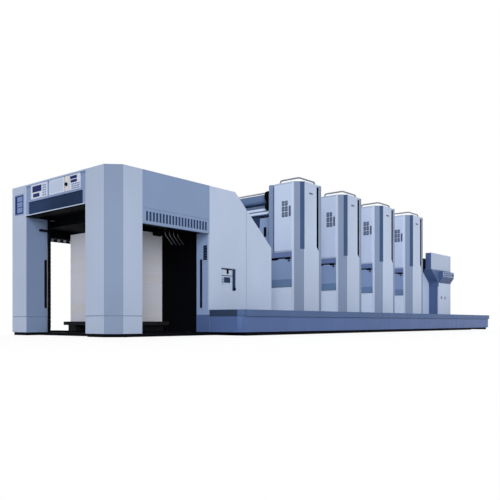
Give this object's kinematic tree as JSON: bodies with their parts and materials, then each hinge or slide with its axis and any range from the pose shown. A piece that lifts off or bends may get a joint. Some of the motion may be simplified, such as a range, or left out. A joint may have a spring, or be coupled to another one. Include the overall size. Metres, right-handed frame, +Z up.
{
  "type": "offset printing press",
  "caption": "Sheet-fed offset printing press with a delivery bay, a row of printing units with swinging guards, a feeder and raised side walkways.",
  "frame": {"origin": "on the floor, in the middle of the press's length and width", "axes": "+X from the delivery to the feeder, +Y from the operator side to the drive side, +Z up"},
  "size_m": [9.715, 3.15, 2.2595],
  "materials": {
    "cover_paint": "satin light blue-grey paint",
    "panel_paint": "satin pale blue-grey paint",
    "fascia_paint": "satin mid blue paint",
    "guard_paint": "satin mid blue paint",
    "dark_paint": "satin dark blue paint",
    "skirt_paint": "satin blue paint",
    "black_paint": "matt black paint",
    "visor": "dark blue tinted sheet",
    "control_face": "printed control plates",
    "bright_steel": "ground steel",
    "roller_rubber": "smooth rubber",
    "paper": "edges of stacked paper",
    "pallet_wood": "black stained board"
  },
  "bodies": {
    "press": {"base_plinth": "black_paint", "beam_visor": "visor", "blanket_cylinders": "bright_steel", "control_beam": "cover_paint", "control_plates": "control_face", "delivery_head": "black_paint", "delivery_roof": "cover_paint", "feed_board": "bright_steel", "feeder_console": "dark_paint", "feeder_head_covers": "cover_paint", "feeder_panels": "cover_paint", "feeder_sides": "dark_paint", "feeder_switch_box": "black_paint", "feeder_traverse": "dark_paint", "floor_frame": "black_paint", "front_pillar_drive_side": "cover_paint", "front_pillar_operator_side": "cover_paint", "guard_headers": "guard_paint", "guard_hinge_rods": "black_paint", "hatch_controls": "black_paint", "hoist_posts": "black_paint", "incline_housing": "black_paint", "ink_bars": "fascia_paint", "ink_rollers": "roller_rubber", "light_curtains": "black_paint", "machine_base": "skirt_paint", "pallet": "pallet_wood", "paper_pile": "paper", "pillar_display": "visor", "plate_cylinders": "bright_steel", "rear_pillars": "fascia_paint", "sheet_joggers": "dark_paint", "side_cover_drive_side": "cover_paint", "side_cover_operator_side": "cover_paint", "side_fascia_drive_side": "fascia_paint", "side_fascia_operator_side": "fascia_paint", "unit_1_drive_housing": "cover_paint", "unit_1_inker": "guard_paint", "unit_1_operator_housing": "cover_paint", "unit_2_drive_housing": "cover_paint", "unit_2_inker": "guard_paint", "unit_2_operator_housing": "cover_paint", "unit_3_drive_housing": "cover_paint", "unit_3_inker": "guard_paint", "unit_3_operator_housing": "cover_paint", "unit_4_drive_housing": "cover_paint", "unit_4_inker": "guard_paint", "unit_4_operator_housing": "cover_paint", "unit_front_panels": "panel_paint", "unit_handrails": "bright_steel", "unit_side_frames": "guard_paint", "walkway_skirts": "skirt_paint", "walkway_treads": "dark_paint"},
    "guard_1": {"unit_1_guard": "guard_paint"},
    "guard_2": {"unit_2_guard": "guard_paint"},
    "guard_3": {"unit_3_guard": "guard_paint"},
    "guard_4": {"unit_4_guard": "guard_paint"}
  },
  "joints": [
    {"name": "guard_1_swing", "type": "hinge", "parent": "press", "child": "guard_1", "pos_m": [-1.5485, 0, 1.088], "axis": [0, 1, 0], "range_deg": [0, 80]},
    {"name": "guard_2_swing", "type": "hinge", "parent": "press", "child": "guard_2", "pos_m": [-0.3485, 0, 1.088], "axis": [0, 1, 0], "range_deg": [0, 80]},
    {"name": "guard_3_swing", "type": "hinge", "parent": "press", "child": "guard_3", "pos_m": [0.8515, 0, 1.088], "axis": [0, 1, 0], "range_deg": [0, 80]},
    {"name": "guard_4_swing", "type": "hinge", "parent": "press", "child": "guard_4", "pos_m": [2.0515, 0, 1.088], "axis": [0, 1, 0], "range_deg": [0, 80]}
  ]
}
